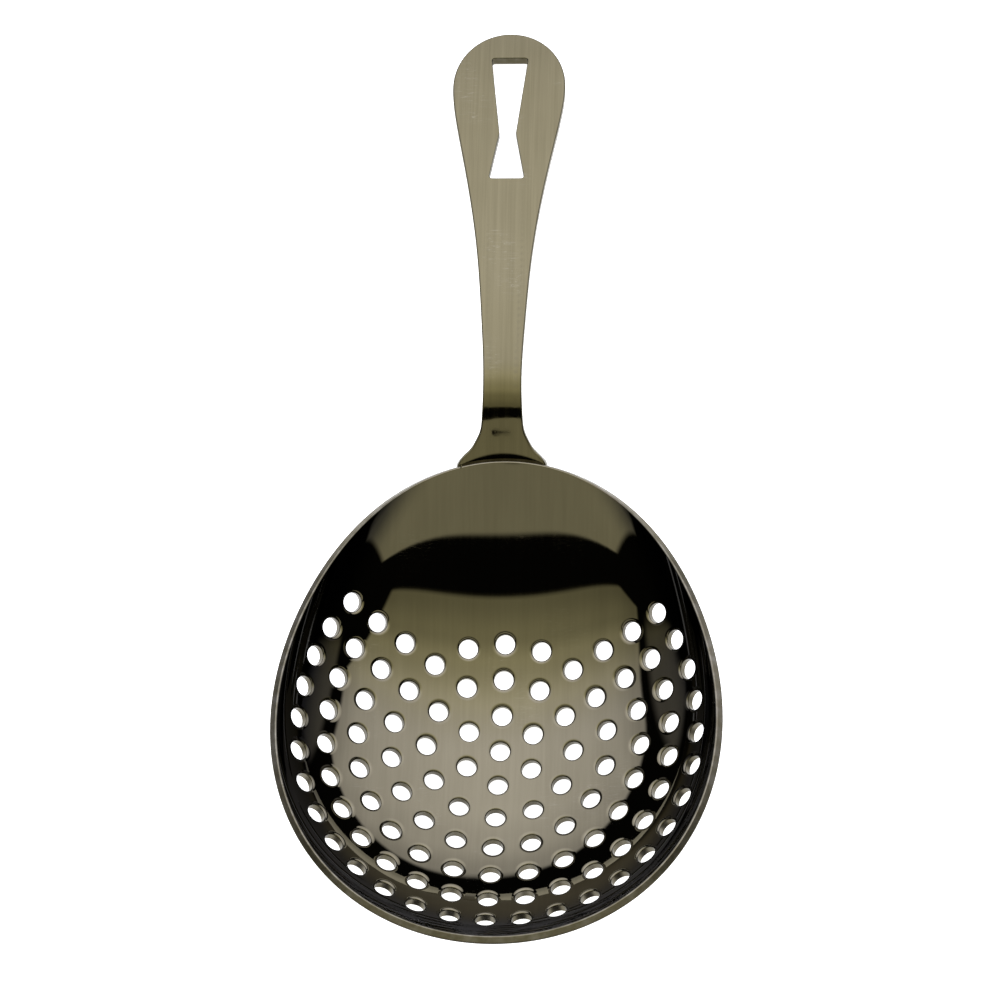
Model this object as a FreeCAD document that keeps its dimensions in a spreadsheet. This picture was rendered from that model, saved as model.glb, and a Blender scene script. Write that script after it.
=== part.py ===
import FreeCAD, Part
import Sketcher
import math
import os

# A julep strainer: a perforated, egg-shaped dish pressed from sheet steel, and a
# stamped handle whose root tab lies on the outside of the dish, held by spot welds.
#
# The work is laid out in the rim frame: the inner face of the centre hole is at the
# origin, the rim is a plane at z = dish_depth, +y runs towards the handle and +z out
# of the dish. At the end everything is turned to the way the strainer lies on a
# table, on its crown and on the tip of its handle, with the origin under the middle
# of its bounding box.

Vector = FreeCAD.Vector

# alias, value (mm, or degrees for angles), what it is
DIMENSIONS = (
    ("sheet_thickness", 1.4, "dish sheet"),
    ("dish_depth", 17.2, "rim plane above the inner face of the centre hole"),
    ("crown_radius", 30.0, "plan radius that scales the profile near the centre"),
    ("crown_height", 14.4, "height that scales the profile of the crown"),
    ("profile_square", 0.76, "share of the square term in the crown's profile"),
    ("profile_fourth", 0.30, "share of the fourth power in the crown's profile"),
    ("contour_mean", 37.9, "outer contour of the crown: mean radius"),
    ("contour_shift", 1.85, "outer contour of the crown: first harmonic"),
    ("contour_oval", 1.2, "outer contour of the crown: second harmonic"),
    ("wall_power", 12.0, "power of the radius in the wall's extra rise to the rim"),
    ("rim_mean", 38.45, "rim outline: mean radius"),
    ("rim_shift", 3.03, "rim outline: first harmonic, longer towards the handle"),
    ("rim_oval", 2.88, "rim outline: second harmonic"),
    ("rim_egg", 1.19, "rim outline: third harmonic"),
    ("rim_fourth", 0.23, "rim outline: fourth harmonic"),
    ("rim_fifth", 0.1, "rim outline: fifth harmonic"),
    ("rim_rounding", 0.3, "radius on both edges of the rim"),
    ("hole_diameter", 3.2, "strainer holes"),
    ("ring_pitch", 6.21, "distance between hole rings, along the sheet"),
    ("pitch_loss", 0.042, "part of the pitch that the outer ring loses in pressing"),
    ("ring_count", 6, "rings round the centre hole"),
    ("dish_turn", 1.9, "turn of the dish's long axis and its holes against the handle"),
    ("handle_thickness", 1.8, "handle strip"),
    ("seat_depth", 0.5, "how far the dish is let into the face of the root tab"),
    ("handle_blank_width", 24.0, "strip width before the outline is cut"),
    ("handle_rounding", 0.35, "radius on the long edges of the handle"),
    ("root_slope", 45.0, "slope of the handle where it leaves the rim"),
    ("tip_from_centre", 128.4, "handle tip from the centre hole, in plan"),
    ("head_length", 12.3, "tip to the widest place"),
    ("head_half_width", 10.0, "half the greatest width"),
    ("neck_half_width", 3.3, "half the narrowest width"),
    ("neck_from_centre", 56.6, "narrowest place from the centre hole"),
    ("tab_half_width", 8.0, "half the width of the root tab"),
    ("tab_end_from_centre", 34.0, "end of the root tab from the centre hole"),
    ("slot_top", 122.5, "outer edge of the hang slot from the centre hole"),
    ("slot_waist", 105.6, "waist of the hang slot"),
    ("slot_bottom", 96.2, "inner edge of the hang slot"),
    ("slot_top_width", 6.5, "hang slot width at its outer edge"),
    ("slot_waist_width", 2.85, "hang slot width at its waist"),
    ("slot_bottom_width", 6.15, "hang slot width at its inner edge"),
    ("channel_width", 4.5, "shallow channel along the stem"),
    ("channel_depth", 0.15, "depth of that channel"),
    ("weld_diameter", 3.5, "spot welds"),
    ("weld_crown", 0.15, "height of a weld above the tab"),
    ("weld_spread", 4.6, "outer welds from the middle plane"),
    ("weld_row", 42.2, "outer welds from the centre hole, in plan"),
    ("weld_tail", 38.4, "middle weld from the centre hole, in plan"),
    ("rest_tilt", 10.53, "turn that brings the handle tip down to the table"),
)

# How the front face of the handle runs from the rim: length (mm) and turn (degrees).
HANDLE_RUNS = (
    (1.1, 0.0),
    (0.8, -12.0),
    (4.15, 0.0),
    (11.5, -26.0),
    (10.0, 0.0),
    (60.0, -18.5),
)

# Positions k of ring n that carry no hole, because the handle's tab is welded there:
# ring number, holes left out on each side of the handle's axis and on it.
BLANKED_RINGS = {4: 2, 5: 3, 6: 4}

# Long sides of the handle in plan: distance from the centre hole and half width (mm).
STEM_SHAPE = ((109.6, 9.4), (101.3, 7.9), (91.4, 6.15), (80.1, 4.65), (68.6, 3.75))
FLARE_SHAPE = ((52.2, 3.5), (50.2, 3.85), (48.8, 4.6), (47.7, 5.4), (46.7, 6.55), (45.9, 7.2))

# The two runs of HANDLE_RUNS that carry the channel: the neck bend and the stem.
CHANNEL_RUNS = slice(3, 5)

# Plan position of the tab's widest place, and how far its blank runs past its end.
TAB_SHOULDER = 43.1
TAB_SPARE = 4.0
TAB_STEPS = 6

# The dish's faces are interpolated through a square grid of points that reaches past the
# rim, where the wall goes on more and more straight. The rim's curves have RIM_POINTS.
RIM_POINTS = 120
GRID_HALF = 52.0
GRID_CELLS = 60
WALL_SPARE = 0.12

# Small steps (mm) for slopes and for lengths measured along the sheet.
SLOPE_STEP = 0.02
ARC_STEP = 0.05

# Two lengths closer than this (mm) are taken as the same when edges are picked.
TIGHT = 0.01

doc = FreeCAD.newDocument("julep_strainer")
sizes = doc.addObject("Spreadsheet::Sheet", "Sizes")


def fill_sheet():
    for row, (alias, value, note) in enumerate(DIMENSIONS, start=1):
        sizes.set("A%d" % row, note)
        sizes.set("B%d" % row, str(value))
        sizes.setAlias("B%d" % row, alias)
    doc.recompute()


def size(alias):
    return float(sizes.get(alias))


def harmonics(names, phi):
    """A closed curve's plan radius, even about the dish's own long axis."""
    own = phi - math.radians(SIZE["dish_turn"])
    return sum(SIZE[name] * math.cos(k * own) for k, name in enumerate(names))


def rim_radius(phi):
    """Plan radius of the rim's inner edge, phi measured from the handle's axis."""
    names = ("rim_mean", "rim_shift", "rim_oval", "rim_egg", "rim_fourth", "rim_fifth")
    return harmonics(names, phi)


def crown_rise(radius, phi):
    """Height of the crown's profile: round contours in the middle, oval further out."""
    contour = harmonics(("contour_mean", "contour_shift", "contour_oval"), phi)
    crown = SIZE["crown_radius"]
    share = radius / (crown + (contour - crown) * radius / contour)
    square = SIZE["profile_square"]
    fourth = SIZE["profile_fourth"]
    sixth = 1.0 - square - fourth
    return SIZE["crown_height"] * (square * share ** 2 + fourth * share ** 4 + sixth * share ** 6)


def wall_rise(share):
    """A power of the way to the rim, which turns into a parabola and a line outside it."""
    power = SIZE["wall_power"]
    if share <= 1:
        return share ** power
    bend = power * (power - 1) / 2
    near = min(share - 1, WALL_SPARE)
    far = share - 1 - near
    return 1 + power * near + bend * near ** 2 + (power + 2 * bend * near) * far


def dish_height(x, y):
    """Inner face of the dish: the crown, and the wall that brings it up to the rim plane."""
    radius = math.hypot(x, y)
    phi = math.atan2(x, y)
    rim = rim_radius(phi)
    missing = SIZE["dish_depth"] - crown_rise(rim, phi)
    return crown_rise(radius, phi) + missing * wall_rise(radius / rim)


def dish_point(x, y):
    return Vector(x, y, dish_height(x, y))


def dish_normal(x, y):
    """Unit normal of the inner face, pointing out of the dish."""
    step = SLOPE_STEP
    slope_x = (dish_height(x + step, y) - dish_height(x - step, y)) / (2 * step)
    slope_y = (dish_height(x, y + step) - dish_height(x, y - step)) / (2 * step)
    normal = Vector(-slope_x, -slope_y, 1.0)
    normal.normalize()
    return normal


def checked(shape, name):
    if shape.isNull() or not shape.isValid():
        raise ValueError("%s is not a valid shape" % name)
    return shape


# ---------------------------------------------------------------- dish


def dish_face(depth_below):
    """The dish's inner face moved depth_below down its own normals, past the rim."""
    rows = []
    step = 2 * GRID_HALF / GRID_CELLS
    for i in range(GRID_CELLS + 1):
        row = []
        for j in range(GRID_CELLS + 1):
            x = -GRID_HALF + i * step
            y = -GRID_HALF + j * step
            row.append(dish_point(x, y) - dish_normal(x, y) * depth_below)
        rows.append(row)
    surface = Part.BSplineSurface()
    surface.interpolate(rows)
    return surface.toShape()


def above(face):
    """Everything from a face up to well over the rim."""
    return face.extrude(Vector(0, 0, 4 * GRID_HALF))


def rim_curve(level):
    """Closed curve where the lines square to the sheet at the rim meet a level plane."""
    points = []
    for k in range(RIM_POINTS):
        phi = 2 * math.pi * k / RIM_POINTS
        radius = rim_radius(phi)
        x = radius * math.sin(phi)
        y = radius * math.cos(phi)
        normal = dish_normal(x, y)
        reach = (level - SIZE["dish_depth"]) / normal.z
        points.append(Vector(x, y, SIZE["dish_depth"]) + normal * reach)
    curve = Part.BSplineCurve()
    curve.interpolate(Points=points, PeriodicFlag=True)
    return Part.Wire([curve.toShape()])


def rim_trimmer():
    """What lies outside the rim, bounded by a wall square to the sheet."""
    reach = 2 * SIZE["sheet_thickness"]
    low = SIZE["dish_depth"] - reach
    kept = Part.makeLoft([rim_curve(low), rim_curve(SIZE["dish_depth"] + reach)], True, True)
    span = 4 * GRID_HALF
    block = Part.makeBox(span, span, 2 * span, Vector(-span / 2, -span / 2, low))
    return block.cut(kept)


def rim_edges(shape):
    """The two long edges of the rim's cut face."""
    lowest = SIZE["dish_depth"] - 2 * SIZE["sheet_thickness"]
    shortest = SIZE["rim_mean"]
    return [e for e in shape.Edges if e.BoundBox.ZMin > lowest and e.Length > shortest]


def add_dish_blank():
    """Pressed sheet without its holes: inner face, outer face and a rounded cut rim."""
    outer = above(dish_face(SIZE["sheet_thickness"]))
    inner = above(dish_face(0.0))
    trimmer = rim_trimmer()
    sheet = outer.cut(inner).cut(trimmer)
    blank = doc.addObject("Part::Feature", "dish_blank")
    blank.Shape = sheet.makeFillet(SIZE["rim_rounding"], rim_edges(sheet))
    checked(blank.Shape, "dish_blank")
    envelope = doc.addObject("Part::Feature", "dish_envelope")
    envelope.Shape = outer.cut(trimmer)
    checked(envelope.Shape, "dish_envelope")
    return blank, envelope


def radius_at_arc(phi, arc):
    """Plan radius reached after an arc length along the sheet from the centre."""
    radius = 0.0
    travelled = 0.0
    height = 0.0
    while travelled < arc:
        radius += ARC_STEP
        new_height = dish_height(radius * math.sin(phi), radius * math.cos(phi))
        travelled += math.hypot(ARC_STEP, new_height - height)
        height = new_height
    return radius - (travelled - arc)


def hole_places():
    """Plan positions of the holes: a centre hole and rings of 6n, less the blank sector."""
    places = [(0.0, 0.0)]
    rings = int(SIZE["ring_count"])
    for ring in range(1, rings + 1):
        count = 6 * ring
        blanked = BLANKED_RINGS.get(ring, -1)
        arc = SIZE["ring_pitch"] * ring * (1 - SIZE["pitch_loss"] * (ring / rings) ** 2)
        for k in range(count):
            if min(k, count - k) <= blanked:
                continue
            phi = 2 * math.pi * k / count + math.radians(SIZE["dish_turn"])
            radius = radius_at_arc(phi, arc)
            places.append((radius * math.sin(phi), radius * math.cos(phi)))
    return places


def square_to_dish(x, y, start):
    """Placement with its z axis down the dish's normal, start above the inner face."""
    normal = dish_normal(x, y)
    turn = FreeCAD.Rotation(Vector(0, 0, 1), normal * -1)
    return FreeCAD.Placement(dish_point(x, y) + normal * start, turn)


def add_bowl(blank):
    """The blank punched with one round punch, square to the sheet at every hole."""
    punch = doc.addObject("Part::Cylinder", "punch")
    punch.setExpression("Radius", "Sizes.hole_diameter / 2")
    punch.setExpression("Height", "Sizes.sheet_thickness * 3")
    doc.recompute()
    copies = []
    for x, y in hole_places():
        copy = punch.Shape.copy()
        copy.Placement = square_to_dish(x, y, SIZE["sheet_thickness"])
        copies.append(copy)
    punches = doc.addObject("Part::Feature", "punches")
    punches.Shape = Part.makeCompound(copies)
    bowl = doc.addObject("Part::Cut", "punched_dish")
    bowl.Base = blank
    bowl.Tool = punches
    bowl.Label = "bowl"
    return bowl


# ---------------------------------------------------------------- handle


def rim_corner():
    """Where the handle's front face meets the rim on its axis, let into the sheet: (y, z)."""
    rim = rim_radius(0.0)
    depth = SIZE["sheet_thickness"] - SIZE["seat_depth"]
    corner = dish_point(0.0, rim) - dish_normal(0.0, rim) * depth
    return corner.y, corner.z


def strip_line(offset):
    """Lines and arcs of the handle's side view at a depth below its front face.

    The side view is drawn in the sketch's own plane: first y, then z.
    """
    y, z = rim_corner()
    heading = math.radians(SIZE["root_slope"])
    y += offset * math.sin(heading)
    z -= offset * math.cos(heading)
    curves = []
    for length, degrees in HANDLE_RUNS:
        start = Vector(y, z, 0)
        turn = math.radians(degrees)
        if turn:
            # the centre of each bend lies behind the strip, so deeper lines are shorter
            radius = length / abs(turn) - offset
            chord = 2 * radius * math.sin(abs(turn) / 2)
            half_chord = 2 * radius * math.sin(abs(turn) / 4)
            quarter = heading + turn / 4
            halfway = start + Vector(math.cos(quarter), math.sin(quarter), 0) * half_chord
        else:
            chord = length
        y += chord * math.cos(heading + turn / 2)
        z += chord * math.sin(heading + turn / 2)
        end = Vector(y, z, 0)
        curves.append(Part.Arc(start, halfway, end) if turn else Part.LineSegment(start, end))
        heading += turn
    return curves


def tab_line(depth):
    """The tab in side view, at a depth below the dish's inner face, from the rim down."""
    rim = rim_radius(0.0)
    last = SIZE["tab_end_from_centre"] - TAB_SPARE
    points = []
    for k in range(TAB_STEPS + 1):
        y = rim + (last - rim) * k / TAB_STEPS
        point = dish_point(0.0, y) - dish_normal(0.0, y) * depth
        points.append(Vector(point.y, point.z, 0))
    curve = Part.BSplineCurve()
    curve.interpolate(points)
    return curve


def sketch_on(body, role, name):
    """An empty sketch on one of the body's own origin planes."""
    plane = [f for f in body.Origin.OriginFeatures if f.Role == role][0]
    sketch = body.newObject("Sketcher::SketchObject", name)
    sketch.AttachmentSupport = [(plane, "")]
    sketch.MapMode = "FlatFace"
    return sketch


def draw(sketch, curves):
    for curve in curves:
        sketch.addGeometry(curve, False)


def add_strip(body):
    """The bent strip at its full width: side view padded to both sides."""
    thickness = SIZE["handle_thickness"]
    sheet = SIZE["sheet_thickness"]
    front = strip_line(0.0)
    back = strip_line(thickness)
    inside = tab_line(sheet - 2 * SIZE["seat_depth"])
    outside = tab_line(sheet - SIZE["seat_depth"] + thickness)
    sketch = sketch_on(body, "YZ_Plane", "strip_profile")
    draw(sketch, front + back + [inside, outside])
    draw(sketch, [
        Part.LineSegment(front[-1].EndPoint, back[-1].EndPoint),
        Part.LineSegment(inside.StartPoint, front[0].StartPoint),
        Part.LineSegment(outside.StartPoint, back[0].StartPoint),
        Part.LineSegment(inside.EndPoint, outside.EndPoint),
    ])
    pad = body.newObject("PartDesign::Pad", "strip")
    pad.Profile = sketch
    pad.Midplane = True
    pad.setExpression("Length", "Sizes.handle_blank_width")
    return pad


def side_curve(side):
    """One long side of the handle in plan, from the widest place of the head to the tab."""
    widest = SIZE["tip_from_centre"] - SIZE["head_length"]
    points = [Vector(side * SIZE["head_half_width"], widest, 0)]
    points += [Vector(side * half, y, 0) for y, half in STEM_SHAPE]
    points.append(Vector(side * SIZE["neck_half_width"], SIZE["neck_from_centre"], 0))
    points += [Vector(side * half, y, 0) for y, half in FLARE_SHAPE]
    points.append(Vector(side * SIZE["tab_half_width"], TAB_SHOULDER, 0))
    curve = Part.BSplineCurve()
    down = Vector(0, -1, 0)
    curve.interpolate(Points=points, InitialTangent=down, FinalTangent=down)
    return curve


def half_ellipse(centre, half_width, reach, upward):
    """Upper or lower half of an ellipse about a point on the handle's axis."""
    along = centre + Vector(0, reach, 0)
    if reach > half_width:
        ellipse = Part.Ellipse(along, centre - Vector(half_width, 0, 0), centre)
    else:
        ellipse = Part.Ellipse(centre + Vector(half_width, 0, 0), along, centre)
    right = ellipse.parameter(centre + Vector(half_width, 0, 0))
    left = ellipse.parameter(centre - Vector(half_width, 0, 0))
    first, last = (right, left) if upward else (left, right)
    if last < first:
        last += 2 * math.pi
    return Part.ArcOfEllipse(ellipse, first, last)


def add_outline_cut(body):
    """Takes away the strip outside the handle's outline, seen in plan."""
    widest = SIZE["tip_from_centre"] - SIZE["head_length"]
    head = half_ellipse(Vector(0, widest, 0), SIZE["head_half_width"], SIZE["head_length"], True)
    tab_reach = TAB_SHOULDER - SIZE["tab_end_from_centre"]
    tab = half_ellipse(Vector(0, TAB_SHOULDER, 0), SIZE["tab_half_width"], tab_reach, False)
    wide = SIZE["handle_blank_width"]
    near = SIZE["tab_end_from_centre"] - wide
    far = SIZE["tip_from_centre"] + wide
    corners = [(-wide, near), (wide, near), (wide, far), (-wide, far)]
    points = [Vector(x, y, 0) for x, y in corners]
    border = [Part.LineSegment(points[k - 1], points[k]) for k in range(4)]
    sketch = sketch_on(body, "XY_Plane", "outline")
    draw(sketch, border + [head, side_curve(-1), tab, side_curve(1)])
    pocket = body.newObject("PartDesign::Pocket", "outline_cut")
    pocket.Profile = sketch
    pocket.Midplane = True
    pocket.Type = "ThroughAll"
    return pocket


def add_slot(body):
    """Hourglass hang slot, its widths and places held by constraints."""
    rows = (
        ("slot_top", "slot_top_width"),
        ("slot_waist", "slot_waist_width"),
        ("slot_bottom", "slot_bottom_width"),
    )
    left = [Vector(-SIZE[width] / 2, SIZE[place], 0) for place, width in rows]
    right = [Vector(SIZE[width] / 2, SIZE[place], 0) for place, width in reversed(rows)]
    corners = left + right
    count = len(corners)
    sketch = sketch_on(body, "XY_Plane", "hang_slot")
    draw(sketch, [Part.LineSegment(corners[k], corners[(k + 1) % count]) for k in range(count)])
    for k in range(count):
        sketch.addConstraint(Sketcher.Constraint("Coincident", k, 2, (k + 1) % count, 1))
    for k, (place, width) in enumerate(rows):
        mirror = count - 1 - k
        sketch.addConstraint(Sketcher.Constraint("Symmetric", k, 1, mirror, 1, -2))
        at = sketch.addConstraint(Sketcher.Constraint("DistanceY", -1, 1, k, 1, SIZE[place]))
        wide = sketch.addConstraint(Sketcher.Constraint("DistanceX", k, 1, mirror, 1, SIZE[width]))
        sketch.setExpression("Constraints[%d]" % at, "Sizes.%s" % place)
        sketch.setExpression("Constraints[%d]" % wide, "Sizes.%s" % width)
    pocket = body.newObject("PartDesign::Pocket", "slot_cut")
    pocket.Profile = sketch
    pocket.Midplane = True
    pocket.Type = "ThroughAll"
    return pocket


def add_channel(body):
    """Shallow straight channel pressed into the front of the stem and the neck bend."""
    upper = strip_line(-SIZE["channel_depth"])[CHANNEL_RUNS]
    lower = strip_line(SIZE["channel_depth"])[CHANNEL_RUNS]
    sketch = sketch_on(body, "YZ_Plane", "channel_profile")
    draw(sketch, upper + lower)
    draw(sketch, [
        Part.LineSegment(upper[0].StartPoint, lower[0].StartPoint),
        Part.LineSegment(upper[-1].EndPoint, lower[-1].EndPoint),
    ])
    pocket = body.newObject("PartDesign::Pocket", "channel_cut")
    pocket.Profile = sketch
    pocket.Midplane = True
    pocket.setExpression("Length", "Sizes.channel_width")
    return pocket


def long_edges(shape):
    """Edges between the handle's faces and its cut outline, outside the dish's rim."""
    short = 1.2 * SIZE["handle_thickness"]
    nearest = rim_radius(0.0) + SIZE["sheet_thickness"]
    chosen = []
    for number, edge in enumerate(shape.Edges, start=1):
        box = edge.BoundBox
        straight_across = box.YLength < TIGHT < box.XLength
        if box.YMin > nearest and edge.Length > short and not straight_across:
            chosen.append("Edge%d" % number)
    return chosen


def add_rounding(body, base):
    fillet = body.newObject("PartDesign::Fillet", "long_edges")
    fillet.Base = (base, long_edges(base.Shape))
    fillet.setExpression("Radius", "Sizes.handle_rounding")
    return fillet


def add_handle_body():
    body = doc.addObject("PartDesign::Body", "handle_strip")
    add_strip(body)
    before = recompute_volume(body)
    add_outline_cut(body)
    outlined = recompute_volume(body)
    slot = add_slot(body)
    slotted = recompute_volume(body)
    add_rounding(body, slot)
    rounded = recompute_volume(body)
    add_channel(body)
    grooved = recompute_volume(body)
    if not before > outlined > slotted > rounded > grooved:
        raise ValueError("a cut in the handle removed nothing")
    return body


def recompute_volume(body):
    doc.recompute()
    return body.Shape.Volume


# ---------------------------------------------------------------- welds


def weld_places():
    spread = SIZE["weld_spread"]
    row = SIZE["weld_row"]
    return [(-spread, row), (spread, row), (0.0, SIZE["weld_tail"])]


def add_weld_pins():
    """Round weld plugs square to the dish, from inside its sheet to just past the tab."""
    pin = doc.addObject("Part::Cylinder", "weld_pin")
    pin.setExpression("Radius", "Sizes.weld_diameter / 2")
    pin.setExpression("Height", "Sizes.handle_thickness + Sizes.weld_crown")
    doc.recompute()
    top = pin.Height.Value
    edge = [e for e in pin.Shape.Edges if abs(e.BoundBox.ZMin - top) < TIGHT]
    crowned = pin.Shape.makeFillet(SIZE["weld_crown"], edge)
    start = SIZE["seat_depth"] - SIZE["sheet_thickness"]
    copies = []
    for x, y in weld_places():
        copy = crowned.copy()
        copy.Placement = square_to_dish(x, y, start)
        copies.append(copy)
    pins = doc.addObject("Part::Feature", "weld_pins")
    pins.Shape = Part.makeCompound(copies)
    return pins


def cut(name, base, tool):
    result = doc.addObject("Part::Cut", name)
    result.Base = base
    result.Tool = tool
    return result


# ---------------------------------------------------------------- assembly


def rest_placement(parts):
    """Turn and shift from the rim frame to the table, origin under the box's middle."""
    turn = FreeCAD.Rotation(Vector(1, 0, 0), -SIZE["rest_tilt"])
    turned = FreeCAD.Placement(Vector(0, 0, 0), turn)
    shapes = []
    for part in parts:
        shape = part.Shape.copy()
        shape.Placement = turned.multiply(shape.Placement)
        shapes.append(shape)
    box = Part.makeCompound(shapes).optimalBoundingBox(False)
    shift = Vector(-box.Center.x, -box.Center.y, -box.ZMin)
    for part, shape in zip(parts, shapes):
        own = shape.optimalBoundingBox(False)
        print("%s lowest %.3f" % (part.Label, own.ZMin - box.ZMin))
    print("shift", shift)
    print("box", box.XLength, box.YLength, box.ZLength)
    return FreeCAD.Placement(shift, turn)


def write(parts):
    broken = [o.Name for o in doc.Objects if "Invalid" in o.State or "Error" in o.State]
    if broken:
        raise ValueError("failed objects: %s" % broken)
    os.makedirs("parts", exist_ok=True)
    for part in parts:
        checked(part.Shape, part.Label)
        part.Shape.exportStep("parts/%s.step" % part.Label)
        solids = len(part.Shape.Solids)
        print("%s %.1f mm3 in %d solids" % (part.Label, part.Shape.Volume, solids))


fill_sheet()
SIZE = {alias: size(alias) for alias, value, note in DIMENSIONS}

dish_blank, dish_envelope = add_dish_blank()
bowl = add_bowl(dish_blank)
strip = add_handle_body()
weld_pins = add_weld_pins()
seated_strip = cut("seated_strip", strip, dish_envelope)
handle = cut("drilled_strip", seated_strip, weld_pins)
handle.Label = "handle"
welds = cut("trimmed_pins", weld_pins, dish_envelope)
welds.Label = "spot_welds"
doc.recompute()

pieces = [bowl, handle, welds]
at_rest = rest_placement(pieces)
for piece in pieces:
    piece.Placement = at_rest
doc.recompute()
write(pieces)
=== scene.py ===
import math

import bpy
import numpy as np
from mathutils import Matrix, Vector
from mathutils.geometry import delaunay_2d_cdt


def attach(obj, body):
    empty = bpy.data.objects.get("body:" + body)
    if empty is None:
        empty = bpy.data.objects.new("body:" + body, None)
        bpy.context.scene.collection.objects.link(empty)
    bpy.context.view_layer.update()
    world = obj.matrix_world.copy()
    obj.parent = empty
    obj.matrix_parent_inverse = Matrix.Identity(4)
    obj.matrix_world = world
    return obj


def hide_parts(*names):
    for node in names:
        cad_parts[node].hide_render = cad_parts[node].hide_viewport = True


# A julep strainer in gunmetal plating. The dish, the handle and the spot welds are built
# as sheet metal with rolled and rounded edges, in millimetres, in the frame of the dish's
# rim: +y runs towards the handle, +z out of the dish, the centre hole is at the origin.
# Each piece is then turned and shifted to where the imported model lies, in metres.

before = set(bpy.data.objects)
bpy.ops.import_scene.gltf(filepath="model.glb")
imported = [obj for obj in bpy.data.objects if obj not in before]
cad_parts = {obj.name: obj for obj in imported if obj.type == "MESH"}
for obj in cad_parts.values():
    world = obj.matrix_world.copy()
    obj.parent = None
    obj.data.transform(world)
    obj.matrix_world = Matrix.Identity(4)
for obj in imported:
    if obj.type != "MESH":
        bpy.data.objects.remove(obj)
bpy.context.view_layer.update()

MM = 0.001
REST_TILT = math.radians(-10.53)
REST_SHIFT = (-0.0013, -47.8841, 2.1923)

# ---------------------------------------------------------------- sizes (mm, degrees)

SHEET = 1.4
DISH_DEPTH = 17.2
CROWN_RADIUS = 30.0
CROWN_HEIGHT = 14.4
PROFILE = ((2, 0.76), (4, 0.30), (6, -0.06))
CONTOUR_HARMONICS = (37.9, 1.85, 1.2)
WALL_POWER = 12
WALL_SPARE = 0.12
RIM_HARMONICS = (38.45, 3.03, 2.88, 1.19, 0.23, 0.10)
RIM_ROUNDING = 0.3
RIM_TRIM = 0.02
HOLE_RADIUS = 1.6
RING_PITCH = 6.21
PITCH_LOSS = 0.042
RINGS = 6
DISH_TURN = math.radians(1.9)
BLANKED_RINGS = {4: 2, 5: 3, 6: 4}

STRIP = 1.8
SEAT = 0.5
STRIP_ROUNDING = 0.35
ROOT_SLOPE = math.radians(45.0)
STRIP_RUNS = ((1.1, 0.0), (0.8, -12.0), (4.15, 0.0), (11.5, -26.0), (10.0, 0.0), (60.0, -18.5))
HEAD_Y = 116.1
HEAD_REACH = 12.3
HEAD_HALF = 10.0
TAB_Y = 43.1
TAB_REACH = 9.1
TAB_HALF = 8.0
SIDE_SHAPE = (
    (TAB_Y, TAB_HALF), (45.9, 7.2), (46.7, 6.55), (47.7, 5.4), (48.8, 4.6), (50.2, 3.85),
    (52.2, 3.5), (56.6, 3.3), (68.6, 3.75), (80.1, 4.65), (91.4, 6.15), (101.3, 7.9),
    (109.6, 9.4), (HEAD_Y, HEAD_HALF),
)
SLOT_SHAPE = ((3.25, 122.5, 0.55), (1.42, 105.6, 1.2), (3.08, 96.2, 0.45))
FOLD_CURVE = 0.0224
FOLD_LIMIT = 1.1
FOLD_ONSET = 1.6
FLARE_START = 2.2
FLARE_END = 9.0
PANEL_DEPTH = 0.12
PANEL_PLACES = (3.0, 12.0, 40.0)
PANEL_HALVES = (2.05, 2.2, 3.1)
PANEL_BORDER = (0.35, 0.25)
PANEL_START = (3.2, 6.5)
PANEL_END = (34.0, 56.0)
SLOT_ROUNDING = 0.16
SLOT_BACK_ROUNDING = 0.3
WELD_PLACES = ((-4.6, 42.2), (4.6, 42.2), (0.0, 38.4))
WELD_RADIUS = 1.75

SEED = 7
RIM_STEPS = 300
DISH_SPACING = 1.05
STRIP_SPACING = 0.7
OUTLINE_STEP = 0.4
SLOT_STEP = 0.22
TAB_TABLE_END = 26.0
# steepness of the dish, in degrees, over which the painted wall shade comes in
PAINTED_SHADE_STEEP = (36.0, 47.0)
FLOOR_RADIUS = 6.0
FLOOR_DROP = 0.0002


# ---------------------------------------------------------------- dish surface

def harmonics(sizes, phi):
    """A closed curve's plan radius, even about the dish's own long axis."""
    return sum(a * np.cos(k * (phi - DISH_TURN)) for k, a in enumerate(sizes))


def rim_radius(phi):
    return harmonics(RIM_HARMONICS, phi)


def crown_rise(radius, phi):
    """Height of the crown: round contours in the middle, oval further out."""
    contour = harmonics(CONTOUR_HARMONICS, phi)
    share = radius / (CROWN_RADIUS + (contour - CROWN_RADIUS) * radius / contour)
    return CROWN_HEIGHT * sum(a * share ** n for n, a in PROFILE)


def wall_rise(share):
    """A power of the way to the rim, then a parabola and a line outside it."""
    bend = WALL_POWER * (WALL_POWER - 1) / 2
    near = np.clip(share - 1, 0.0, WALL_SPARE)
    far = np.maximum(share - 1 - WALL_SPARE, 0.0)
    outside = WALL_POWER * near + bend * near ** 2 + (WALL_POWER + 2 * bend * WALL_SPARE) * far
    return np.minimum(share, 1.0) ** WALL_POWER + outside


def dish_height(x, y):
    """Inner face of the dish: the crown, and the wall that brings it up to the rim."""
    radius = np.hypot(x, y)
    phi = np.arctan2(x, y)
    rim = rim_radius(phi)
    missing = DISH_DEPTH - crown_rise(rim, phi)
    return crown_rise(radius, phi) + missing * wall_rise(radius / rim)


def dish(uv):
    x, y = uv[:, 0], uv[:, 1]
    return np.column_stack([x, y, dish_height(x, y)])


def unit(vectors):
    return vectors / np.linalg.norm(vectors, axis=-1, keepdims=True)


def slopes(surface, uv, step=0.02):
    """Derivatives of a surface along its two parameters, by central differences."""
    du, dv = np.array([step, 0.0]), np.array([0.0, step])
    along_u = (surface(uv + du) - surface(uv - du)) / (2 * step)
    along_v = (surface(uv + dv) - surface(uv - dv)) / (2 * step)
    return along_u, along_v


def normals_of(surface, uv):
    along_u, along_v = slopes(surface, uv)
    return unit(np.cross(along_u, along_v))


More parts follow.
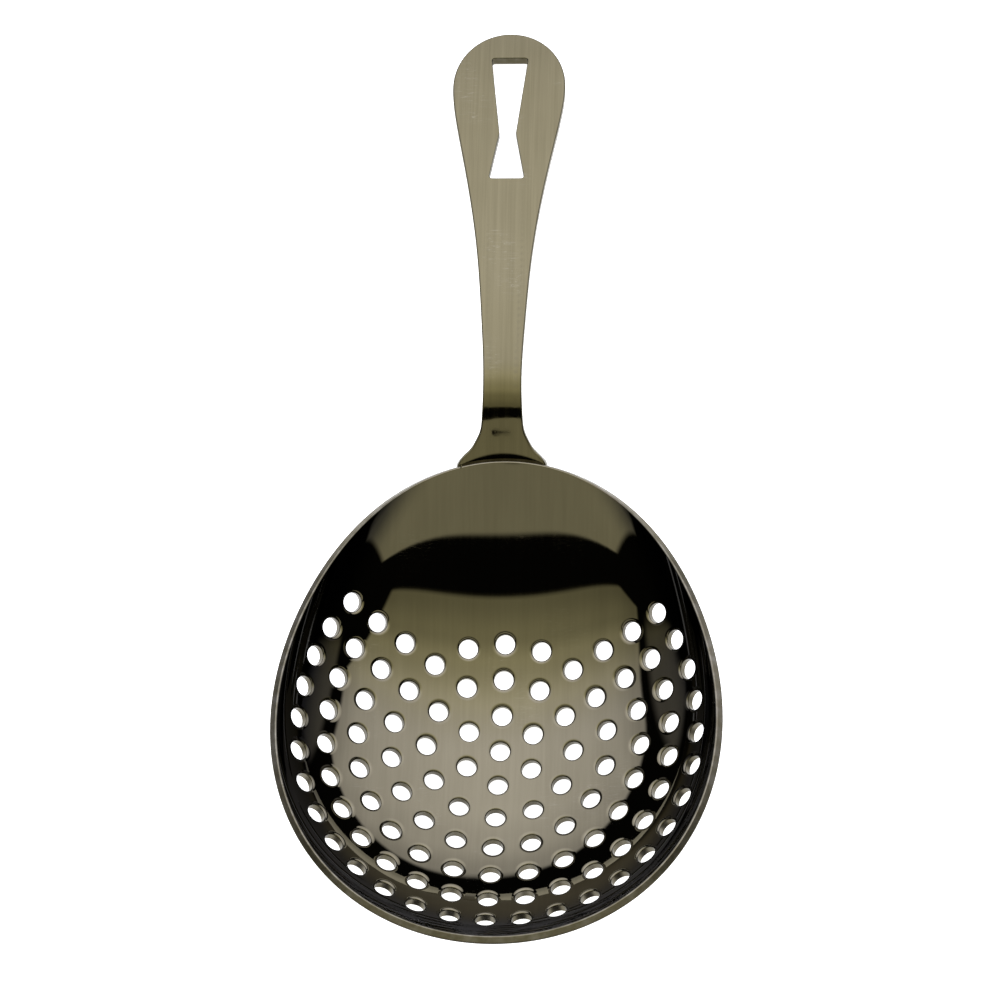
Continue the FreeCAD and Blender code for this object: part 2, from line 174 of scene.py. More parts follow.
# ---------------------------------------------------------------- sheet metal in mesh code

def inside(points, loop):
    """Which plan points lie inside a closed loop."""
    result = np.zeros(len(points), bool)
    low, high = loop.min(0), loop.max(0)
    near = np.all((points >= low) & (points <= high), axis=1)
    x, y = points[near, 0:1], points[near, 1:2]
    x0, y0 = loop[:, 0], loop[:, 1]
    x1, y1 = np.roll(x0, -1), np.roll(y0, -1)
    spans = (y0 > y) != (y1 > y)
    rise = np.where(y1 == y0, 1.0, y1 - y0)
    result[near] = (spans & (x < x0 + (y - y0) * (x1 - x0) / rise)).sum(1) % 2 == 1
    return result


def round_edge(radius, thickness, back_radius=None, steps=6):
    """Section of a cut edge as (inset, depth, turn of the normal in radians)."""
    back_radius = radius if back_radius is None else back_radius
    turns = np.linspace(0, math.pi / 2, steps + 1)
    front = [(radius * (1 - math.sin(t)), radius * (1 - math.cos(t)), t) for t in turns]
    back = []
    for t in turns:
        depth = thickness - back_radius * (1 - math.sin(t))
        back.append((back_radius * (1 - math.cos(t)), depth, math.pi / 2 + t))
    return front + back


def make_sheet(name, surface, thickness, outline, holes, edge, hole_edges, spacing):
    """A closed thick sheet. outline runs anticlockwise and each hole clockwise, in the
    surface's own parameters; the edge sections say how each cut edge is rounded."""
    points, normals, wear, faces = [], [], [], []
    count = 0
    front_uv, front_id, back_id, borders = [], [], [], []
    for number, loop in enumerate([outline] + holes):
        section = edge if number == 0 else hole_edges[number - 1]
        size = len(loop)
        along_u, along_v = slopes(surface, loop)
        normal = unit(np.cross(along_u, along_v))
        travel = np.roll(loop, -1, axis=0) - np.roll(loop, 1, axis=0)
        tangent = unit(travel[:, 0:1] * along_u + travel[:, 1:2] * along_v)
        out = unit(np.cross(tangent, normal))
        # parameters change by this much for a millimetre into the metal
        a = (along_u * along_u).sum(1)
        b = (along_u * along_v).sum(1)
        c = (along_v * along_v).sum(1)
        p, q = -(along_u * out).sum(1), -(along_v * out).sum(1)
        det = a * c - b * b
        inward = np.column_stack([(c * p - b * q) / det, (a * q - b * p) / det])
        for k, (inset, depth, turn) in enumerate(section):
            uv = loop + inward * inset
            n_here = normals_of(surface, uv)
            points.append(surface(uv) - n_here * depth)
            normals.append(unit(n_here * math.cos(turn) + out * math.sin(turn)))
            wear.append(np.full(size, math.sin(turn) ** 2))
            if k == 0:
                front_uv.append(uv)
                front_id.append(count + np.arange(size))
                borders.append(uv)
            if k == len(section) - 1:
                back_id.append(count + np.arange(size))
            if k:
                here = count + np.arange(size)
                before = here - size
                faces.append(np.column_stack([before, here, np.roll(here, -1), np.roll(before, -1)]))
            count += size
    # plain sheet between the edges
    low, high = borders[0].min(0), borders[0].max(0)
    rows = np.arange(low[1], high[1], spacing * math.sqrt(0.75))
    grid = []
    for k, y in enumerate(rows):
        across = np.arange(low[0] + spacing * 0.5 * (k % 2), high[0], spacing)
        grid.append(np.column_stack([across, np.full(len(across), y)]))
    grid = np.concatenate(grid)
    keep = inside(grid, borders[0])
    for border in borders[1:]:
        keep &= ~inside(grid, border)
    grid = grid[keep]
    every = np.concatenate(borders)
    clear = np.ones(len(grid), bool)
    for start in range(0, len(grid), 500):
        part = grid[start:start + 500]
        apart = part[:, None] - every[None]
        gap = np.hypot(apart[..., 0], apart[..., 1]).min(1)
        clear[start:start + 500] = gap > 0.5 * spacing
    grid = grid[clear]
    size = len(grid)
    n_here = normals_of(surface, grid)
    points += [surface(grid), surface(grid) - n_here * thickness]
    normals += [n_here, -n_here]
    wear += [np.zeros(size), np.zeros(size)]
    front_uv.append(grid)
    front_id.append(count + np.arange(size))
    back_id.append(count + size + np.arange(size))
    uv = np.concatenate(front_uv)
    front = np.concatenate(front_id)
    back = np.concatenate(back_id)
    constraints = []
    start = 0
    for border in borders:
        ids = start + np.arange(len(border))
        constraints += list(zip(ids.tolist(), np.roll(ids, -1).tolist()))
        start += len(border)
    found = delaunay_2d_cdt([Vector(p) for p in uv], constraints, [], 0, 1e-7, True)
    origin = np.array([o[0] if o else -1 for o in found[3]])
    triangles = origin[np.array([f for f in found[2]], int)]
    triangles = triangles[(triangles >= 0).all(1)]
    centres = uv[triangles].mean(1)
    keep = inside(centres, borders[0])
    for border in borders[1:]:
        keep &= ~inside(centres, border)
    triangles = triangles[keep]
    edge_1 = uv[triangles[:, 1]] - uv[triangles[:, 0]]
    edge_2 = uv[triangles[:, 2]] - uv[triangles[:, 0]]
    turned = edge_1[:, 0] * edge_2[:, 1] - edge_1[:, 1] * edge_2[:, 0] < 0
    triangles[turned] = triangles[turned][:, ::-1]
    return solid_mesh(name, np.concatenate(points), np.concatenate(normals), np.concatenate(wear),
                      faces + [front[triangles], back[triangles][:, ::-1]])


def at_rest(vectors):
    """Turned from the rim frame to the way the strainer lies."""
    cos, sin = math.cos(REST_TILT), math.sin(REST_TILT)
    x, y, z = vectors.T
    return np.column_stack([x, cos * y - sin * z, sin * y + cos * z])


def solid_mesh(name, points, normals, wear, face_groups):
    mesh = bpy.data.meshes.new(name)
    faces = [f for group in face_groups for f in group.tolist()]
    mesh.from_pydata(((at_rest(points) + REST_SHIFT) * MM).tolist(), [], faces)
    mesh.shade_smooth()
    attribute = mesh.attributes.new("wear", "FLOAT", "POINT")
    attribute.data.foreach_set("value", wear.astype(np.float32))
    mesh.normals_split_custom_set_from_vertices(at_rest(normals).tolist())
    obj = bpy.data.objects.new(name, mesh)
    bpy.context.scene.collection.objects.link(obj)
    return obj


# ---------------------------------------------------------------- dish

def along_rim(count):
    phi = -np.arange(count) * 2 * math.pi / count
    radius = rim_radius(phi) - RIM_TRIM
    return np.column_stack([radius * np.sin(phi), radius * np.cos(phi)])


def hole_places():
    """A centre hole and rings of 6n holes, less the sector where the tab is welded."""
    places = [(0.0, 0.0)]
    for ring in range(1, RINGS + 1):
        arc = RING_PITCH * ring * (1 - PITCH_LOSS * (ring / RINGS) ** 2)
        for k in range(6 * ring):
            if min(k, 6 * ring - k) <= BLANKED_RINGS.get(ring, -1):
                continue
            phi = 2 * math.pi * k / (6 * ring) + DISH_TURN
            radii = np.arange(0, 48, 0.1)
            heights = dish_height(radii * math.sin(phi), radii * math.cos(phi))
            arcs = np.concatenate([[0], np.cumsum(np.hypot(np.diff(radii), np.diff(heights)))])
            radius = np.interp(arc, arcs, radii)
            places.append((radius * math.sin(phi), radius * math.cos(phi)))
    return np.array(places)


def punched_loop(centre, radius, count=36):
    """Clockwise loop of a round punch square to the dish, in plan."""
    normal = normals_of(dish, centre[None])[0]
    across = unit(np.cross([0.0, 1.0, 0.0], normal))
    along = np.cross(normal, across)
    turn = -np.arange(count) * 2 * math.pi / count
    circle = radius * (np.outer(np.cos(turn), across) + np.outer(np.sin(turn), along))
    return centre + circle[:, :2]


def punched_edge(rng):
    """Rolled-in entry of the punch, its wall, and the small rounding on the far side."""
    roll = rng.uniform(0.85, 1.15)
    entry = ((0.66, 0.0, 0.0), (0.48, 0.008, 5.0), (0.32, 0.032, 13.0), (0.19, 0.08, 27.0),
             (0.09, 0.15, 50.0), (0.025, 0.24, 74.0), (0.0, 0.34, 90.0))
    leave = ((0.0, SHEET - 0.16, 90.0), (0.03, SHEET - 0.07, 115.0), (0.09, SHEET - 0.015, 150.0),
             (0.2, SHEET, 180.0), (0.66, SHEET, 180.0))
    front = [(inset * roll, depth * roll, math.radians(turn)) for inset, depth, turn in entry]
    return front + [(inset, depth, math.radians(turn)) for inset, depth, turn in leave]


def mark_painted_wall_shade(obj):
    """A vertex attribute that grows up the dish's steep wall, where painted shade darkens the plating.
    """
    count = len(obj.data.vertices)
    places = np.empty(count * 3)
    obj.data.vertices.foreach_get("co", places)
    x, y, z = (places.reshape(count, 3) / MM - REST_SHIFT).T
    cos, sin = math.cos(REST_TILT), math.sin(REST_TILT)
    plan_y = cos * y + sin * z
    steepness = np.degrees(np.arccos(normals_of(dish, np.column_stack([x, plan_y]))[:, 2]))
    attribute = obj.data.attributes.new("wall", "FLOAT", "POINT")
    attribute.data.foreach_set("value", smooth(steepness, *PAINTED_SHADE_STEEP).astype(np.float32))
    return obj


def build_dish():
    rng = np.random.default_rng(SEED)
    holes = [punched_loop(place, HOLE_RADIUS) for place in hole_places()]
    edges = [punched_edge(rng) for hole in holes]
    rim_edge = round_edge(RIM_ROUNDING, SHEET)
    sheet = make_sheet("dish", dish, SHEET, along_rim(RIM_STEPS), holes, rim_edge, edges, DISH_SPACING)
    return mark_painted_wall_shade(sheet)


# ---------------------------------------------------------------- handle surface

def smooth(value, low, high):
    t = np.clip((value - low) / (high - low), 0, 1)
    return t * t * (3 - 2 * t)


def centre_line():
    """Side view of the strip's front face from the rim out: arc length, y, z."""
    ends = np.cumsum([0.0] + [length for length, turn in STRIP_RUNS])
    headings = ROOT_SLOPE + np.cumsum([0.0] + [math.radians(turn) for length, turn in STRIP_RUNS])
    s = np.arange(0, ends[-1], 0.05)
    heading = np.interp(s, ends, headings)
    middle = (heading[1:] + heading[:-1]) / 2
    y = np.concatenate([[0], np.cumsum(np.cos(middle) * np.diff(s))])
    z = np.concatenate([[0], np.cumsum(np.sin(middle) * np.diff(s))])
    return s, y, z


def seat_depth_point(uv):
    """Where the tab's front face would be: let into the dish's outer face."""
    return dish(uv) - normals_of(dish, uv) * (SHEET - SEAT)


LINE_S, LINE_Y, LINE_Z = centre_line()
RIM_AT_AXIS = rim_radius(0.0)
ROOT = seat_depth_point(np.array([[0.0, RIM_AT_AXIS]]))[0]
TAB_YS = np.arange(RIM_AT_AXIS, TAB_TABLE_END, -0.1)
TAB_LINE = seat_depth_point(np.column_stack([np.zeros(len(TAB_YS)), TAB_YS]))
TAB_S = -np.concatenate([[0], np.cumsum(np.linalg.norm(np.diff(TAB_LINE, axis=0), axis=1))])
RIM_PHI = np.linspace(-0.5, 0.5, 401)
RIM_X = rim_radius(RIM_PHI) * np.sin(RIM_PHI)
RIM_Y = rim_radius(RIM_PHI) * np.cos(RIM_PHI)


def strip(uv):
    """Front face of the handle: across the strip, and along it from the rim."""
    w, s = uv[:, 0], uv[:, 1]
    rim_shift = np.interp(w, RIM_X, RIM_Y) - RIM_AT_AXIS
    # tab: follows the outside of the dish
    tab_s = np.minimum(s, 0.0)
    tab_y = np.interp(tab_s, TAB_S[::-1], TAB_YS[::-1]) + rim_shift
    tab = seat_depth_point(np.column_stack([w, tab_y]))
    # strip: bends away from the rim, curved across near it and flat further out
    out_s = np.maximum(s, 0.0)
    y = np.interp(out_s, LINE_S, LINE_Y)
    z = np.interp(out_s, LINE_S, LINE_Z)
    fade = 1 - smooth(out_s, FLARE_START, FLARE_END)
    fold = -np.minimum(FOLD_CURVE * w ** 2, FOLD_LIMIT) * smooth(out_s, 0.0, FOLD_ONSET) * fade
    root_shift = rim_shift * (fade - 1)
    y = tab[:, 1] + root_shift + y + fold * math.cos(ROOT_SLOPE)
    z = tab[:, 2] + z + fold * math.sin(ROOT_SLOPE)
    flat = ROOT[2] - tab[:, 2]
    z = z + flat * (1 - fade)
    return np.column_stack([w, y, z])


def panel_relief(w, s):
    """Depth of the sunk middle panel of the neck and stem."""
    half = np.interp(s, PANEL_PLACES, PANEL_HALVES)
    across = 1 - smooth(np.abs(w), half - PANEL_BORDER[0], half + PANEL_BORDER[1])
    along = smooth(s, *PANEL_START) * (1 - smooth(s, *PANEL_END))
    return PANEL_DEPTH * across * along


def strip_with_panel(uv):
    flat = strip(uv)
    return flat - normals_of(strip, uv) * panel_relief(uv[:, 0], uv[:, 1])[:, None]


def arcs_at(plan):
    """Parameters of the strip's points that have these plan positions."""
    table = np.arange(-20.0, 86.0, 0.1)
    result = []
    for x, y in plan:
        line = strip(np.column_stack([np.full(len(table), x), table]))[:, 1]
        result.append((x, np.interp(y, line, table)))
    return np.array(result)


def clamped_spline(knots, values, where):
    """Cubic spline through values, level at both ends."""
    h = np.diff(knots)
    n = len(knots)
    matrix, right = np.zeros((n, n)), np.zeros(n)
    matrix[0, :2] = 2 * h[0], h[0]
    matrix[-1, -2:] = h[-1], 2 * h[-1]
    right[0] = 6 * (values[1] - values[0]) / h[0]
    right[-1] = -6 * (values[-1] - values[-2]) / h[-1]
    for k in range(1, n - 1):
        matrix[k, k - 1:k + 2] = h[k - 1], 2 * (h[k - 1] + h[k]), h[k]
        right[k] = 6 * ((values[k + 1] - values[k]) / h[k] - (values[k] - values[k - 1]) / h[k - 1])
    bend = np.linalg.solve(matrix, right)
    k = np.clip(np.searchsorted(knots, where) - 1, 0, n - 2)
    a, b = knots[k + 1] - where, where - knots[k]
    cubic = (bend[k] * a ** 3 + bend[k + 1] * b ** 3) / (6 * h[k])
    from_left = (values[k] / h[k] - bend[k] * h[k] / 6) * a
    from_right = (values[k + 1] / h[k] - bend[k + 1] * h[k] / 6) * b
    return cubic + from_left + from_right


def evenly(points, spacing):
    """A closed line's points again, evenly spaced."""
    closed = np.vstack([points, points[:1]])
    travelled = np.concatenate([[0], np.cumsum(np.linalg.norm(np.diff(closed, axis=0), axis=1))])
    where = np.linspace(0, travelled[-1], int(travelled[-1] / spacing), endpoint=False)
    return np.column_stack([np.interp(where, travelled, closed[:, k]) for k in range(2)])


def handle_outline():
    turn = np.linspace(0, math.pi, 120)
    head = np.column_stack([HEAD_HALF * np.cos(turn), HEAD_Y + HEAD_REACH * np.sin(turn)])
    tab = np.column_stack([-TAB_HALF * np.cos(turn), TAB_Y - TAB_REACH * np.sin(turn)])
    knots, values = np.array(SIDE_SHAPE).T
    ys = np.linspace(TAB_Y, HEAD_Y, 700)[1:-1]
    half = clamped_spline(knots, values, ys)
    left = np.column_stack([-half, ys])[::-1]
    right = np.column_stack([half, ys])
    return arcs_at(evenly(np.vstack([head, left, tab, right]), OUTLINE_STEP))


def rounded_corners(corners, radii, steps=7):
    points = []
    for k, corner in enumerate(corners):
        before = unit(corners[k - 1] - corner)
        after = unit(corners[(k + 1) % len(corners)] - corner)
        half = math.acos(np.clip(before @ after, -1, 1)) / 2
        reach = radii[k] / math.tan(half)
        centre = corner + unit(before + after) * radii[k] / math.sin(half)
        first = corner + before * reach - centre
        last = corner + after * reach - centre
        angle = math.acos(np.clip(unit(first) @ unit(last), -1, 1))
        for t in np.linspace(0, 1, steps):
            mix = (math.sin((1 - t) * angle) * first + math.sin(t * angle) * last) / math.sin(angle)
            points.append(centre + mix)
    return np.array(points)


def slot_loop():
    right = [(x, y) for x, y, radius in SLOT_SHAPE]
    corners = np.array(right + [(-x, y) for x, y in reversed(right)])
    radii = [radius for x, y, radius in SLOT_SHAPE]
    return arcs_at(evenly(rounded_corners(corners, radii + radii[::-1]), SLOT_STEP))


def build_handle():
    slot_edge = round_edge(SLOT_ROUNDING, STRIP, SLOT_BACK_ROUNDING, 4)
    return make_sheet("strip", strip_with_panel, STRIP, handle_outline(), [slot_loop()],
                      round_edge(STRIP_ROUNDING, STRIP), [slot_edge], STRIP_SPACING)


# ---------------------------------------------------------------- spot welds

def build_welds():
    """Low round nuggets on the back of the tab, each with an electrode's ring mark."""
    section = ((0.0, 0.07), (0.55, 0.06), (1.0, 0.05), (1.2, 0.11), (1.38, 0.14), (1.55, 0.1),
               (WELD_RADIUS, 0.0), (WELD_RADIUS, -0.5))
    count = 40
    points, normals, wear, faces = [], [], [], []
    base = 0
    for x, y in WELD_PLACES:
        uv = np.array([[x, y]])
        out = -normals_of(dish, uv)[0]
        centre = dish(uv)[0] + out * (SHEET - SEAT + STRIP)
        across = unit(np.cross([0.0, 1.0, 0.0], out))
        along = np.cross(out, across)
        turn = np.arange(count) * 2 * math.pi / count
        ring = np.outer(np.cos(turn), across) + np.outer(np.sin(turn), along)
        for k, (radius, height) in enumerate(section):
            before, after = section[max(k - 1, 0)], section[min(k + 1, len(section) - 1)]
            slope = math.atan2(before[1] - after[1], after[0] - before[0])
            points.append(centre + ring * max(radius, 0.02) + out * height)
            normals.append(unit(ring * math.sin(slope) + out * math.cos(slope)))
            wear.append(np.full(count, 0.5 * (k > 3)))
        ids = base + np.arange(len(section) * count).reshape(len(section), count)
        for k in range(len(section) - 1):
            after = ids[k + 1]
            faces.append(np.column_stack([ids[k], after, np.roll(after, -1), np.roll(ids[k], -1)]))
        points.append((centre + out * section[0][1])[None])
        normals.append(out[None])
        wear.append(np.zeros(1))
        points.append((centre + out * section[-1][1])[None])
        normals.append(-out[None])
        wear.append(np.zeros(1))
        top, bottom = ids[-1, -1] + 1, ids[-1, -1] + 2
        faces.append(np.column_stack([np.full(count, top), ids[0], np.roll(ids[0], -1)]))
        faces.append(np.column_stack([np.full(count, bottom), np.roll(ids[-1], -1), ids[-1]]))
        base += len(section) * count + 2
    return solid_mesh("weld_nuggets", np.concatenate(points), np.concatenate(normals),
                      np.concatenate(wear), faces)


# ---------------------------------------------------------------- materials

BROAD_GRAIN = 0.22
HAIR_SCALE = (160.0, 2600.0, 160.0)
HAIR_WIDTH = 0.012
# painted shade: near-black colour, and how much of it covers the dish's steep wall
PAINTED_SHADE_COLOUR = (0.008, 0.008, 0.009, 1.0)
PAINTED_SHADE_COVER = 0.92
WORN_ROUGHNESS = 0.28


class Nodes:
    """Short ways to add shader nodes and join them."""

    def __init__(self, tree):
        self.tree = tree
        self.tree.nodes.clear()

    def add(self, kind, links=(), **settings):
        node = self.tree.nodes.new(kind)
        for name, value in settings.items():
            setattr(node, name, value)
        for socket, value in dict(links).items():
            self.join(value, node.inputs[socket])
        return node

    def join(self, value, socket):
        if isinstance(value, bpy.types.NodeSocket):
            self.tree.links.new(value, socket)
        elif isinstance(value, bpy.types.Node):
            self.tree.links.new(value.outputs[0], socket)
        else:
            socket.default_value = value

    def math(self, operation, a, b=0.0, c=0.0):
        return self.add("ShaderNodeMath", {0: a, 1: b, 2: c}, operation=operation).outputs[0]

    def dot(self, a, b):
        return self.add("ShaderNodeVectorMath", {0: a, 1: b}, operation="DOT_PRODUCT").outputs["Value"]

    def step(self, value, low, high, to_low=0.0, to_high=1.0):
        links = {"Value": value, "From Min": low, "From Max": high, "To Min": to_low, "To Max": to_high}
        return self.add("ShaderNodeMapRange", links, interpolation_type="SMOOTHSTEP").outputs[0]

    def ramp(self, value, span, stops):
        """Smooth levels along value, from 0 to span; a negative span runs downwards."""
        node = self.add("ShaderNodeValToRGB", {"Fac": self.math("MULTIPLY", value, 1 / span)})
        node.color_ramp.interpolation = "EASE"
        elements = node.color_ramp.elements
        while len(elements) < len(stops):
            elements.new(0.5)
        for element, (place, level) in zip(elements, stops):
            element.position = place / abs(span)
            element.color = (level, level, level, 1.0)
        return node.outputs["Color"]

    def noise(self, vector, scale, detail=2.0, rough=0.5):
        links = {"Vector": vector, "Scale": scale, "Detail": detail, "Roughness": rough}
        return self.add("ShaderNodeTexNoise", links).outputs[0]

    def stretched(self, vector, scale, turn):
        links = {"Vector": vector, "Rotation": turn, "Scale": scale}
        return self.add("ShaderNodeMapping", links).outputs[0]

    def mix(self, factor, a, b):
        node = self.add("ShaderNodeMix", data_type="RGBA")
        self.join(factor, node.inputs[0])
        self.join(a, node.inputs[6])
        self.join(b, node.inputs[7])
        return node.outputs[2]


def plated_metal(name, dark, light, worn, roughness, grain, grain_turn, grain_depth, scratches):
    """Gunmetal plating over a ground finish: grain along one direction, hairline scratches,
    faint clouding of the plating, painted shade darkening the dish's steep wall, and edges
    that have begun to rub bright."""
    material = bpy.data.materials.new(name)
    material.use_nodes = True
    n = Nodes(material.node_tree)
    place = n.add("ShaderNodeTexCoord").outputs["Object"]
    # grain: very long narrow noise, in two widths
    fine = n.noise(n.stretched(place, grain, grain_turn), 1.0, 3.0, 0.6)
    broad = n.noise(n.stretched(place, tuple(g * BROAD_GRAIN for g in grain), grain_turn), 1.0, 2.0, 0.5)
    clouds = n.noise(place, 28.0, 3.0, 0.55)
    # hairlines: the crests of stretched noise in two directions, broken up by patches
    lines = []
    for turn, seed in ((0.5, 3.7), (-0.9, 11.3)):
        shifted = n.stretched(place, HAIR_SCALE, (0.0, 0.0, turn + grain_turn[2]))
        ends = {0: shifted, 1: (seed, seed, 0.0)}
        moved = n.add("ShaderNodeVectorMath", ends, operation="ADD").outputs[0]
        crest = n.math("ABSOLUTE", n.math("SUBTRACT", n.noise(moved, 1.0, 1.0, 0.4), 0.5))
        thin = n.step(crest, 0.0, HAIR_WIDTH, 1.0, 0.0)
        patch = n.step(n.noise(place, 90.0 + seed, 1.0), 0.6, 0.68)
        lines.append(n.math("MULTIPLY", thin, patch))
    hairs = n.math("MULTIPLY", n.math("MAXIMUM", lines[0], lines[1]), scratches)
    wear = n.add("ShaderNodeAttribute", attribute_name="wear").outputs["Fac"]
    rubbed = n.math("MULTIPLY", wear, n.step(n.noise(place, 420.0, 3.0, 0.6), 0.35, 0.75))
    tone = n.math("ADD", n.math("MULTIPLY", fine, 0.55), n.math("MULTIPLY", broad, 0.45))
    tone = n.math("ADD", n.math("MULTIPLY", tone, 0.6), n.math("MULTIPLY", clouds, 0.4))
    tone = n.step(tone, 0.34, 0.66)
    colour = n.mix(tone, dark, light)
    # painted shade: the dish's steep wall is darkened to near black, standing in for dark reflections
    # there, except on the rounded edges
    wall = n.add("ShaderNodeAttribute", attribute_name="wall").outputs["Fac"]
    painted_shade = n.math("MULTIPLY", wall, n.math("SUBTRACT", 1.0, wear))
    colour = n.mix(n.math("MULTIPLY", painted_shade, PAINTED_SHADE_COVER), colour, PAINTED_SHADE_COLOUR)
    colour = n.mix(n.math("MULTIPLY", rubbed, 0.6), colour, worn)
    colour = n.mix(n.math("MULTIPLY", hairs, 0.5), colour, worn)
    rough = n.step(fine, 0.3, 0.7, roughness[0], roughness[1])
    rough = n.math("ADD", rough, n.math("MULTIPLY", hairs, 0.12))
    rough = n.math("ADD", rough, n.math("MULTIPLY", wear, WORN_ROUGHNESS))
    height = n.math("ADD", n.math("MULTIPLY", fine, 1.0), n.math("MULTIPLY", broad, 1.2))
    height = n.math("SUBTRACT", height, n.math("MULTIPLY", hairs, 0.8))
    ground = n.add("ShaderNodeBump", {"Height": height, "Strength": 1.0, "Distance": grain_depth})
    shader = n.add("ShaderNodeBsdfPrincipled", {
        "Base Color": colour, "Roughness": rough, "Metallic": 1.0, "Normal": ground})
    n.add("ShaderNodeOutputMaterial", {"Surface": shader.outputs[0]})
    return material


def finish_piece(obj, node, material):
    obj.data.materials.append(material)
    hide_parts(node)
    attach(obj, "root")


# ---------------------------------------------------------------- pieces

bowl_metal = plated_metal(
    "plated_bowl", (0.068, 0.0600, 0.0385, 1.0), (0.078, 0.0692, 0.0450, 1.0), (0.15, 0.14, 0.115, 1.0),
    (0.014, 0.03), (2600.0, 90.0, 90.0), (0.0, 0.0, 0.12), 0.00000015, 0.4)
handle_metal = plated_metal(
    "plated_handle", (0.056, 0.0485, 0.0265, 1.0), (0.074, 0.0645, 0.0365, 1.0), (0.13, 0.12, 0.09, 1.0),
    (0.035, 0.085), (3200.0, 45.0, 45.0), (0.0, 0.0, 0.01), 0.000002, 0.8)
weld_metal = plated_metal(
    "weld_metal", (0.052, 0.046, 0.034, 1.0), (0.072, 0.065, 0.049, 1.0), (0.12, 0.112, 0.092, 1.0),
    (0.22, 0.34), (900.0, 900.0, 900.0), (0.0, 0.0, 0.0), 0.000004, 0.4)

finish_piece(build_dish(), "bowl", bowl_metal)
finish_piece(build_handle(), "handle", handle_metal)
finish_piece(build_welds(), "spot_welds", weld_metal)


# ---------------------------------------------------------------- floor and light

STUDIO_RIGHT = (0.99881, 0.01489, -0.04652)
STUDIO_UP = (-0.00252, 0.96683, 0.25541)
STUDIO_FRONT = (0.04877, -0.25499, 0.96572)
PANEL_LIGHT = 4.75
CARD_LIGHT = 1.6


def make_floor():
    mesh = bpy.data.meshes.new("floor")
    count = 96
    turn = np.arange(count) * 2 * math.pi / count
    below = np.full(count, -FLOOR_DROP)
    edge = np.column_stack([FLOOR_RADIUS * np.cos(turn), FLOOR_RADIUS * np.sin(turn), below])
    mesh.from_pydata(edge.tolist(), [], [list(range(count))])
    floor = bpy.data.objects.new("floor", mesh)
    bpy.context.scene.collection.objects.link(floor)
    material = bpy.data.materials.new("floor_white")
    material.use_nodes = True
    n = Nodes(material.node_tree)
    # painted light: for all rays but the camera's the floor glows, most under the strainer and fading
    # outwards, a painted pool of light on its underside and through its holes; the camera sees the floor
    # plain white
    seen = n.add("ShaderNodeLightPath").outputs["Is Camera Ray"]
    where = n.add("ShaderNodeTexCoord").outputs["Object"]
    away = n.add("ShaderNodeVectorMath", {0: where}, operation="LENGTH").outputs["Value"]
    painted_light_pool = n.step(away, 0.1, 0.7, 0.9, 0.1)
    level = n.math("MAXIMUM", painted_light_pool, seen)
    glow = n.add("ShaderNodeEmission", {"Color": (1.0, 1.0, 1.0, 1.0), "Strength": level})
    chalk = n.add("ShaderNodeBsdfDiffuse", {"Color": (0.8, 0.8, 0.8, 1.0)})
    total = n.add("ShaderNodeAddShader", {0: glow, 1: chalk})
    n.add("ShaderNodeOutputMaterial", {"Surface": total.outputs[0]})
    mesh.materials.append(material)


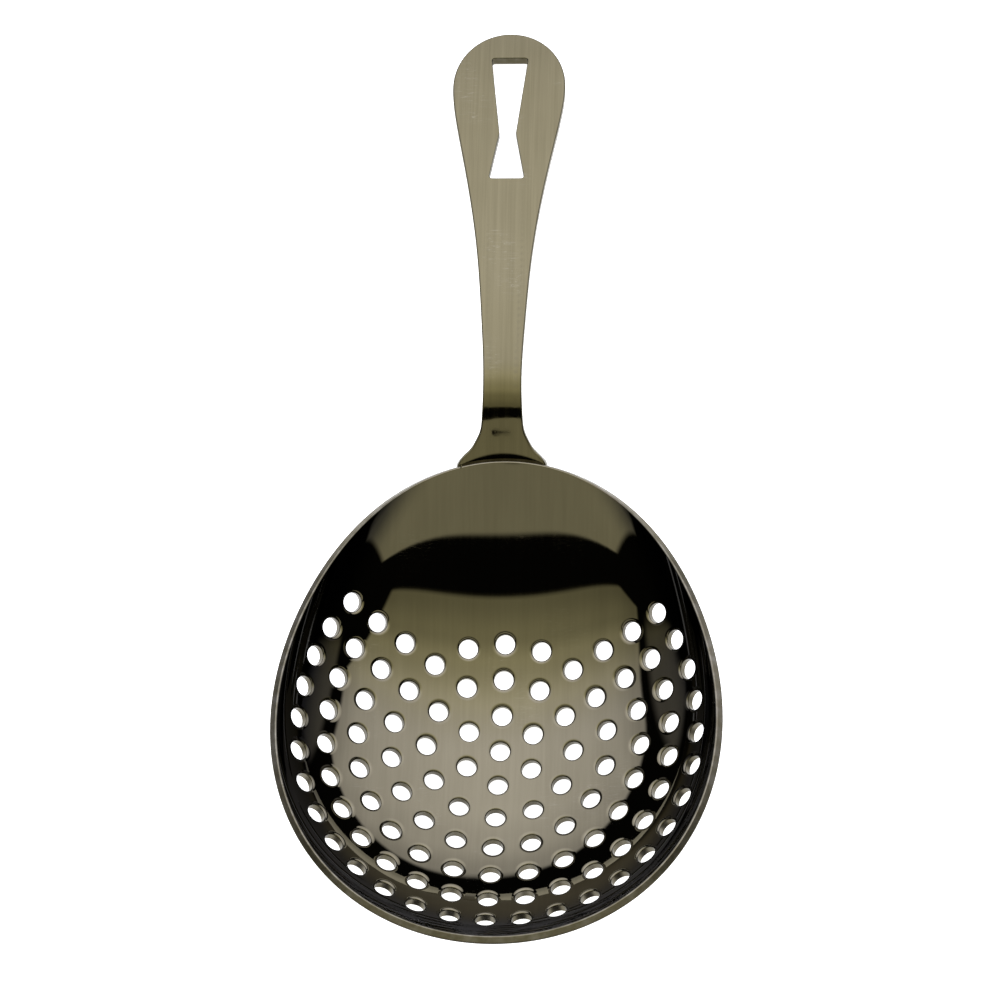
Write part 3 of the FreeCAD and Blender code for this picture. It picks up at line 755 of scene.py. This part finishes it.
def make_world():
    """Soft studio light: a large panel overhead and behind with dim strips at its sides, a
    dimmer card in front, and near black around them. The camera itself sees plain white."""
    world = bpy.data.worlds.new("studio")
    bpy.context.scene.world = world
    world.use_nodes = True
    n = Nodes(world.node_tree)
    way = n.add("ShaderNodeTexCoord").outputs["Generated"]
    way = n.add("ShaderNodeVectorMath", {0: way}, operation="NORMALIZE").outputs[0]
    right, up, front = (n.dot(way, axis) for axis in (STUDIO_RIGHT, STUDIO_UP, STUDIO_FRONT))
    rise = n.math("DEGREES", n.math("ARCTAN2", up, front))
    side = n.math("DEGREES", n.math("ARCSINE", right))
    wide = n.math("ABSOLUTE", side)
    # main panel: a wide softbox with rounded corners and a straight lower edge
    main = n.ramp(rise, 120, (
        (0.3, 0.0), (1.4, 0.24), (9, 0.35), (16, 0.56), (30, 0.87),
        (48, 1.0), (70, 0.95), (84, 0.8), (95, 0.55), (99, 0.0)))
    falloff = n.ramp(wide, 60, (
        (0, 1.0), (15, 0.96), (30, 0.86), (42, 0.74), (52, 0.5), (60, 0.4)))
    tall = n.math("POWER", n.math("MAXIMUM", n.math("MULTIPLY_ADD", rise, 1 / 50, -48 / 50), 0.0), 2.35)
    broad = n.math("POWER", n.math("MULTIPLY", wide, 1 / 54), 2.35)
    shape = n.step(n.math("ADD", tall, broad), 0.95, 1.03, 1.0, 0.0)
    right_end = n.math("MINIMUM", n.math("MULTIPLY_ADD", rise, 0.72, 31.0), 51.0)
    left_end = n.math("MINIMUM", n.math("MULTIPLY_ADD", rise, 1.4, 44.0), 54.0)
    within = n.math("MINIMUM", n.math("SUBTRACT", right_end, side), n.math("ADD", left_end, side))
    shape = n.math("MULTIPLY", shape, n.step(within, -1.0, 1.0))
    main = n.math("MULTIPLY", n.math("MULTIPLY", main, falloff), shape)
    # dim strips at its two sides, set back behind a dark gap
    strips = n.math("MULTIPLY", n.step(wide, 56.0, 60.0), n.step(wide, 74.0, 82.0, 1.0, 0.0))
    level = n.math("MULTIPLY", n.step(rise, 8.0, 20.0), n.step(rise, 88.0, 104.0, 1.0, 0.0))
    strips = n.math("MULTIPLY", n.math("MULTIPLY", strips, level), 0.1)
    main = n.math("MULTIPLY", n.math("MAXIMUM", main, strips), PANEL_LIGHT)
    # front card below it, with slanting ends
    card = n.ramp(rise, -60, (
        (7.6, 0.0), (8.3, 0.95), (16, 1.0), (27, 0.95), (31, 0.6), (34, 0.0)))
    reach = n.math("MINIMUM", n.math("MULTIPLY_ADD", rise, -0.9, 34.5), 58.0)
    skew = n.math("ABSOLUTE", n.math("ADD", side, 3.5))
    ends = n.step(n.math("SUBTRACT", reach, skew), -1.5, 1.5)
    card = n.math("MULTIPLY", n.math("MULTIPLY", card, ends), CARD_LIGHT)
    tint = n.mix(n.step(rise, 6.0, 46.0), (1.0, 0.985, 0.72, 1.0), (1.0, 1.02, 1.2, 1.0))
    panel = n.add("ShaderNodeEmission", {"Color": tint, "Strength": main})
    board = n.add("ShaderNodeEmission", {"Color": (1.0, 0.995, 0.84, 1.0), "Strength": card})
    both = n.add("ShaderNodeAddShader", {0: panel, 1: board})
    dim = n.add("ShaderNodeEmission", {"Color": (0.012, 0.012, 0.012, 1.0), "Strength": 1.0})
    room = n.add("ShaderNodeAddShader", {0: both, 1: dim})
    white = n.add("ShaderNodeBackground", {"Color": (1.0, 1.0, 1.0, 1.0), "Strength": 1.0})
    seen = n.add("ShaderNodeLightPath").outputs["Is Camera Ray"]
    surface = n.add("ShaderNodeMixShader", {0: seen, 1: room, 2: white})
    n.add("ShaderNodeOutputWorld", {"Surface": surface})


make_floor()
make_world()

# ---------------------------------------------------------------- camera

LENS = 103.89
CAMERA_PLACE = (0.023522, -0.130702, 0.481180)

camera = bpy.data.objects.new("camera", bpy.data.cameras.new("camera"))
bpy.context.scene.collection.objects.link(camera)
camera.data.lens = LENS
camera.data.sensor_width = 36.0
axes = Matrix((STUDIO_RIGHT, STUDIO_UP, STUDIO_FRONT)).transposed()
camera.matrix_world = Matrix.Translation(CAMERA_PLACE) @ axes.to_4x4()
camera.data.clip_start = 0.01
camera.data.clip_end = 50.0
bpy.context.scene.camera = camera
bpy.context.scene.view_settings.view_transform = "Standard"
